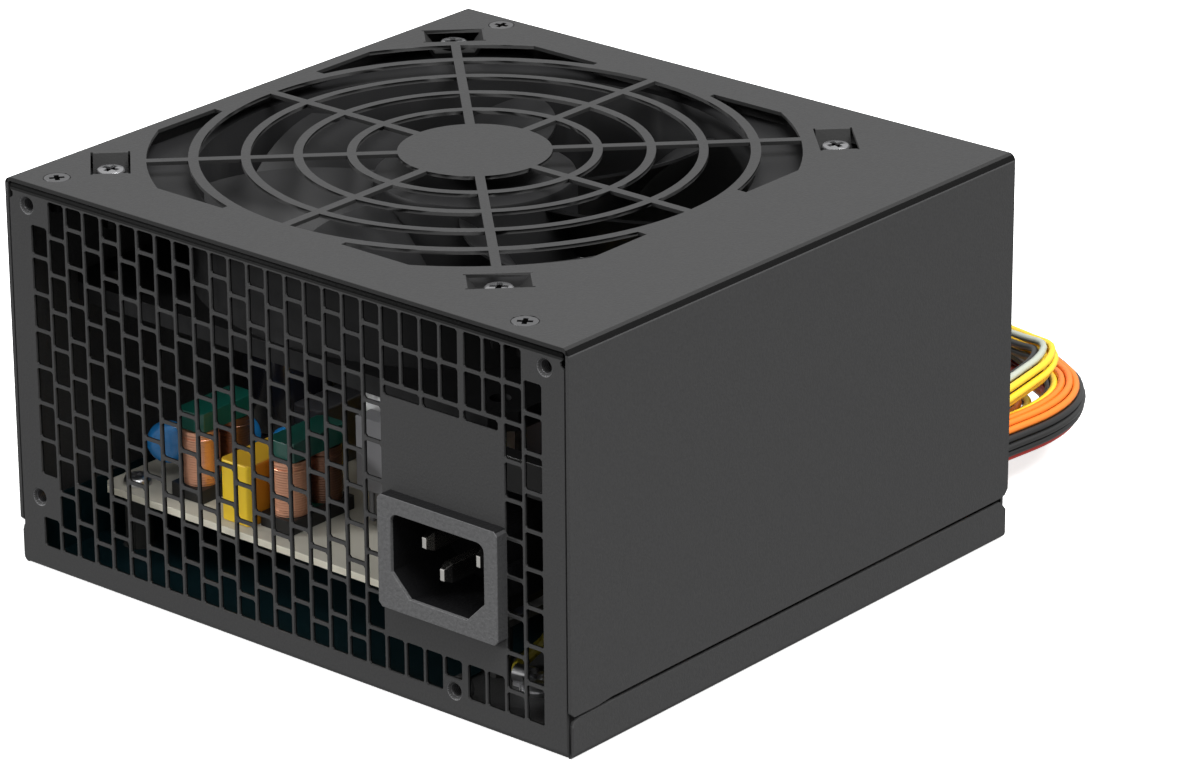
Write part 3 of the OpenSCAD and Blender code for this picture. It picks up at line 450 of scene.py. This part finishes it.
# screws
FX, FY, FT = -11.8, 2.0, 81.4
pan = [(0, -11), (2.0, -11), (2.0, -0.02), (2.95, -0.0), (2.98, 0.45), (2.95, 1.0), (2.8, 1.24), (2.5, 1.36), (1.4, 1.42), (0, 1.44)]
# painted shade: each fan screw is near-black below its top, in the cross recess, under the head and down the shank
for o in phillips("fan_screw", [(FX + sx * 52.5, FY + sy * 52.5, FT + 0.8) for sx in (-1, 1) for sy in (-1, 1)], pan, 3.7, 1.44, zone_mat("fan_screw", MAT["grey_screw"], [(2, 0, 0.0831)], (0.01, 0.01, 0.01))):
    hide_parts("fan_screws")
flat = [(0, -7), (1.6, -7), (1.6, -1.4), (2.66, -0.16), (2.62, -0.06), (0, -0.06)]
# painted shade: each cover screw is near-black below its top rim, on the cone under the head and in the cross recess
for o in phillips("cover_screw", [(-60.7, 66.1, 85), (-66.1, -64, 85), (58.9, -63.8, 85)], flat, 3.1, -0.06, zone_mat("cover_screw", node_mat("cover_screw_head", (0.095, 0.095, 0.098), 0.34, metal=0.5, bump=0.1), [(2, 0, 0.08486)], (0.008, 0.008, 0.008))):
    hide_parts("cover_screws")
boardpan = [(0, -6), (1.6, -6), (1.6, 0), (3.0, 0), (3.0, 0.9), (2.6, 1.6), (1.8, 2.0), (0, 2.1)]
for o in phillips("board_screw", [(-61, -49.5, 14.6), (38.5, -49.5, 14.6), (-61, 52.5, 14.6), (36, 52.5, 14.6)], boardpan, 3.3, 2.1, MAT["steel"]):
    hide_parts("pcb_screws")

# fan rotor: hub with a domed edge and curved blades
def rotor():
    lathe_prof = [(19.4, 60.8), (21.0, 60.8), (21.0, 79.4), (20.7, 80.1), (20.0, 80.4), (0, 80.4)]
    inner = [(19.4, 60.8), (19.4, 78.8), (4.0, 78.8), (4.0, 76.0), (1.5, 76.0), (1.5, 79.4), (0, 79.4)]
    prof = list(reversed(inner)) + lathe_prof[1:]
    hub = lathe("fan_hub", prof, 72, [MAT["black_plastic"]], place(FX, FY, 0), body="rotor", sharp=30)
    verts, faces = [], []
    NU, NV, th = 12, 10, 0.55
    for b in range(7):
        a0 = 2 * math.pi * b / 7 + rad(12)
        base = len(verts)
        for side in (1, -1):
            for i in range(NU + 1):
                u = i / NU
                r = 20.6 + (55.5 - 20.6) * u
                chord = 19.5 + 8.5 * u
                beta = rad(47 - 15 * u)
                for j in range(NV + 1):
                    v = j / NV - 0.5
                    camber = 2.2 * (1 - 4 * v * v)
                    s = -v * chord * math.cos(beta) + camber * math.sin(beta) * 0.6
                    z = v * chord * math.sin(beta) + camber * math.cos(beta)
                    z = 70.4 + max(-8.6, min(8.8, z)) + side * th * (1 - 1.6 * v * v)
                    ang = a0 + s / r + rad(16) * u * u
                    verts.append(Vector((FX + r * math.cos(ang), FY + r * math.sin(ang), z)) * MM)
        cnt = (NU + 1) * (NV + 1)
        for side, off in ((1, 0), (-1, cnt)):
            for i in range(NU):
                for j in range(NV):
                    q = [base + off + i * (NV + 1) + j, base + off + (i + 1) * (NV + 1) + j, base + off + (i + 1) * (NV + 1) + j + 1, base + off + i * (NV + 1) + j + 1]
                    faces.append(tuple(q if side > 0 else reversed(q)))
        ring = [i * (NV + 1) for i in range(NU + 1)] + [NU * (NV + 1) + j for j in range(1, NV + 1)] + [i * (NV + 1) + NV for i in range(NU - 1, -1, -1)] + [j for j in range(NV - 1, 0, -1)]
        for k in range(len(ring)):
            p, q = ring[k], ring[(k + 1) % len(ring)]
            faces.append((base + q, base + p, base + cnt + p, base + cnt + q))
    bl = mesh_obj("fan_blades", verts, faces, [MAT["black_plastic"]], body="rotor")
    bl.data.set_sharp_from_angle(angle=rad(50))
    for o in (hub, bl):
        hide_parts("fan_rotor")
rotor()

# ring cores with their windings
def ring_core(name, M, ro, ri, t, mat, node):
    c = 0.8
    prof = [(ri, -t / 2 + c), (ri + c, -t / 2), (ro - c, -t / 2), (ro, -t / 2 + c), (ro, t / 2 - c), (ro - c, t / 2), (ri + c, t / 2), (ri, t / 2 - c), (ri, -t / 2 + c)]
    o = lathe(name, prof, 64, [mat], M, sharp=50)
    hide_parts(node)
    return o
def ring_winding(name, M, ro, ri, t, wr, spans, mat, node):
    """Close turns of wire of radius wr round the ring, over spans of (start, end) degrees."""
    paths = []
    for a0, a1 in spans:
        turns = max(2, int(rad(a1 - a0) * (ro + wr) / (2.1 * wr)))
        P = []
        steps = 16
        for k in range(turns * steps + 1):
            a = rad(a0 + (a1 - a0) * k / (turns * steps))
            q = 2 * math.pi * k / steps
            # rounded rectangle round the section
            rx, rz = (ro - ri) / 2 + wr, t / 2 + wr
            cq, sq = math.cos(q), math.sin(q)
            e = 0.55
            x = (ro + ri) / 2 + rx * math.copysign(abs(cq) ** e, cq)
            z = rz * math.copysign(abs(sq) ** e, sq)
            P.append(M @ Vector((x * math.cos(a), x * math.sin(a), z)))
        paths.append(P)
    o = wire_obj(name, paths, wr, mat, n=7)
    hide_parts(node)
    return o
# painted shade: the two back coils, from y -40 mm, are darker copper
coil_mat = zone_mat("coil_copper_back_painted_shade", MAT["copper"], [(1, -0.040, 1)], (0.22, 0.11, 0.07))
# upright coils of the mains filter chokes: close turns, a tape band near each end
for i, (x, y) in enumerate([(-46.9, -44.9), (-46.9, -35.1), (-21.6, -44.9), (-21.6, -35.1)]):
    prof = [(2.5, 0), (3.9, 0)]
    for k in range(20):
        z = 0.3 + 0.56 * k
        r = 4.06 if 1 < k < 18 else 3.92
        prof += [(r - 0.09, z - 0.12), (r, z + 0.02), (r, z + 0.26), (r - 0.09, z + 0.42)]
    prof += [(3.85, 11.8), (2.5, 11.8), (2.5, 0)]
    o = lathe(f"choke_coil_{i + 1}", prof, 40, [coil_mat], place(x, y, 17.7), sharp=80)
    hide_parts("choke_windings")
M = place(25, 4, 25.6, ry=90)
ring_core("output_choke_ring", M, 10, 5, 9, MAT["yellow_core"], "output_choke_core")
ring_winding("output_choke_wire", M, 9.8, 5, 9, 0.5, [(k * 60 + 5, k * 60 + 52) for k in range(6)], MAT["copper"], "output_choke_winding")

# round-edged discs
def disc(name, M, r, t, mat, node, legs=None, lw=0.3):
    prof = [(0, -t / 2)] + [(r - t / 2 + t / 2 * math.cos(a), t / 2 * math.sin(a)) for a in [rad(-90 + 15 * k) for k in range(13)]] + [(0, t / 2)]
    o = lathe(name, prof, 48, [mat], M, sharp=70)
    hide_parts(node)
    if legs:
        w = wire_obj(name + "_legs", legs, lw, MAT["steel"], n=6)
        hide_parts(node)
disc("varistor_disc", place(-58, -43, 22.6, rx=-90, rz=35), 4.7, 3.8, MAT["blue_disc"], "varistor", [[(-57.5 + s * 2.1, -43 + s * 1.5, 19.4), (-57.5 + s * 2.1, -43 + s * 1.5, 14.4)] for s in (-1, 1)])
for i, (x, y) in enumerate([(-52, -28), (-40, -28)]):
    disc(f"safety_capacitor_{i + 1}", place(x, y + 1.6, 21.1, rx=-90), 4.1, 3.0, MAT["blue_disc"], "y_capacitors", [[(x + s * 2.7, y + 1.6, 18.4), (x + s * 2.7, y + 1.6, 14.4)] for s in (-1, 1)])
disc("thermistor_disc", place(19, -40.2, 21.6, rx=-90), 5, 3.4, MAT["thermistor_dark"], "thermistor", [[(19 + s * 2.3, -40.2, 18), (19 + s * 2.3, -40.2, 14.4)] for s in (-1, 1)])

# can capacitors: sleeve, rolled top edge, bare top with its vent
def can(name, x, y, z, r, h, node):
    prof = [(0, 0), (r - 0.4, 0), (r, 0.6), (r, 2.0), (r - 0.5, 2.7), (r, 3.4), (r, h - 0.9), (r - 0.25, h - 0.25), (r - 1.0, h), (r - 1.3, h - 0.5)]
    o = lathe(name, prof + [(0, h - 0.5)], 48, [MAT["can_sleeve"]], place(x, y, z), sharp=40)
    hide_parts(node)
    top = lathe(name + "_top", [(0, h - 0.52), (r - 1.35, h - 0.52), (r - 1.35, h - 0.35), (0, h - 0.35)], 40, [MAT["aluminium"]], place(x, y, z), sharp=40)
    k = 0.62 * r
    cut(top, [temp_boxes([(place(x, y, z, rz=a), (-k, -0.2, h - 0.47), (k, 0.2, h + 1))]) for a in ((0, 60, 120) if r > 8 else (0, 90))])
    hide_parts(node)
for i, p in enumerate([(-55, -8), (-55, 17)]):
    can(f"bulk_capacitor_{i + 1}", *p, 14.6, 10.9, 34, "bulk_capacitors")
for i, p in enumerate([(20, 22, 24), (32, 22, 24), (-8, 24.4, 20), (4, 24.4, 20), (-29, 24.4, 20), (-40.2, 24.4, 20)]):
    can(f"output_capacitor_{i + 1}", p[0], p[1], 14.6, 4.6, p[2], "output_capacitors")

def film_box(name, lo, size, c, mats, pick):
    """A box with cut corners; pick(normal) gives the material's place in mats."""
    x0, y0, z0 = lo; a, b, h = size
    ring = [(c, 0), (a - c, 0), (a, c), (a, b - c), (a - c, b), (c, b), (0, b - c), (0, c)]
    vs = [Vector((x0 + x, y0 + y, z0 + z)) * MM for z in (0, h) for x, y in ring]
    n = len(ring)
    fs = [tuple(reversed(range(n))), tuple(range(n, 2 * n))] + [(k, (k + 1) % n, n + (k + 1) % n, n + k) for k in range(n)]
    o = mesh_obj(name, vs, fs, mats, smooth=False)
    for p in o.data.polygons:
        p.material_index = pick(p.normal)
    add_bevel(o, 0.35)
    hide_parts("x_capacitors")
# painted shade: darker copies of the yellow film for the right (+x) side and the top of the first film capacitor
film_side_painted_shade = node_mat("film_side_painted_shade", (0.50, 0.20, 0.012), 0.4, coat=0.2)
film_top_painted_shade = node_mat("film_top_painted_shade", (0.62, 0.36, 0.02), 0.4)
film_grey = node_mat("film_grey", (0.045, 0.045, 0.05), 0.4)
film_box("film_capacitor_1", (-34.8, -52, 14.6), (8.3, 17, 13.5), 0.8, [MAT["yellow_film"], film_side_painted_shade, film_top_painted_shade], lambda q: 2 if q.z > 0.5 else (1 if q.x > 0.8 else 0))
film_box("film_capacitor_2", (-42.6, -22, 14.6), (8, 17, 14), 0.8, [film_grey], lambda q: 0)

# cut threads in the panel's tapped holes
for i, (x, z) in enumerate([(-69, 80), (69, 80), (-69, 16), (45, 6)]):
    prof = []
    for k in range(5):
        prof += [(1.46, 0.45 * k), (1.30, 0.45 * k + 0.22)]
    lathe(f"thread_{i + 1}", [(1.95, -0.57), (1.38, -0.06)] + prof + [(1.46, 2.25)], 28, [MAT["dark_screw"]], place(x, -69.4, z, rx=-90), sharp=80)

# bevelled edges on the plain CAD pieces
for n, w in (("base_shell", 0.16), ("top_cover", 0.16), ("inlet_housing", 0.25), ("main_pcb", 0.1), ("primary_heatsink", 0.2),
             ("secondary_heatsink", 0.2), ("power_transistors", 0.25), ("output_rectifiers", 0.25), ("bridge_rectifier", 0.4), ("transformer_core", 0.5),
             ("transformer_winding", 0.6), ("standby_transformer", 0.5), ("atx_connector", 0.25), ("cpu_connector", 0.25), ("sata_connector", 0.25),
             ("peripheral_connector", 0.25), ("fan_plug", 0.2), ("choke_bases", 0.2), ("choke_cores", 0.45), ("inlet_pins", 0.15), ("fan_frame", 0.3), ("cable_grommet", 0.3)):
    add_bevel(N[n], w, weld=True)

# ---------------------------------------------------------------- light and floor
world = bpy.data.worlds.new("world")
scene.world = world
world.use_nodes = True
wt = world.node_tree
tc = wt.nodes.new("ShaderNodeTexCoord"); sp = wt.nodes.new("ShaderNodeSeparateXYZ"); mr = wt.nodes.new("ShaderNodeMapRange")
wt.links.new(tc.outputs["Generated"], sp.inputs[0])
wt.links.new(sp.outputs[2], mr.inputs["Value"])
for k, v in (("From Min", -0.15), ("From Max", 0.25), ("To Min", 0.42), ("To Max", 0.58)):
    mr.inputs[k].default_value = v
wt.links.new(mr.outputs["Result"], wt.nodes["Background"].inputs["Strength"])
wt.nodes["Background"].inputs["Color"].default_value = (1, 1, 1, 1)
def sun(name, direction, strength, angle):
    d = bpy.data.lights.new(name, "SUN")
    d.energy, d.angle = strength, rad(angle)
    o = bpy.data.objects.new(name, d)
    scene.collection.objects.link(o)
    o.rotation_euler = Vector(direction).to_track_quat("-Z", "Y").to_euler()
    return o
sun("key", (-0.52, 0.10, -1.0), 4.75, 40)
sun("fill", (0.70, 0.60, -0.34), 1.95, 10)
bpy.ops.mesh.primitive_plane_add(size=12, location=(0, 0, -0.0001))
floor = bpy.context.object
floor.name = "floor"
floor_mat = node_mat("floor", (0.85, 0.85, 0.85), 0.9, spec=0.0)
floor_mat.node_tree.nodes["Principled BSDF"].inputs["Emission Color"].default_value = (1, 1, 1, 1)
floor_mat.node_tree.nodes["Principled BSDF"].inputs["Emission Strength"].default_value = 0.7
floor.data.materials.append(floor_mat)
floor.visible_diffuse = floor.visible_glossy = False
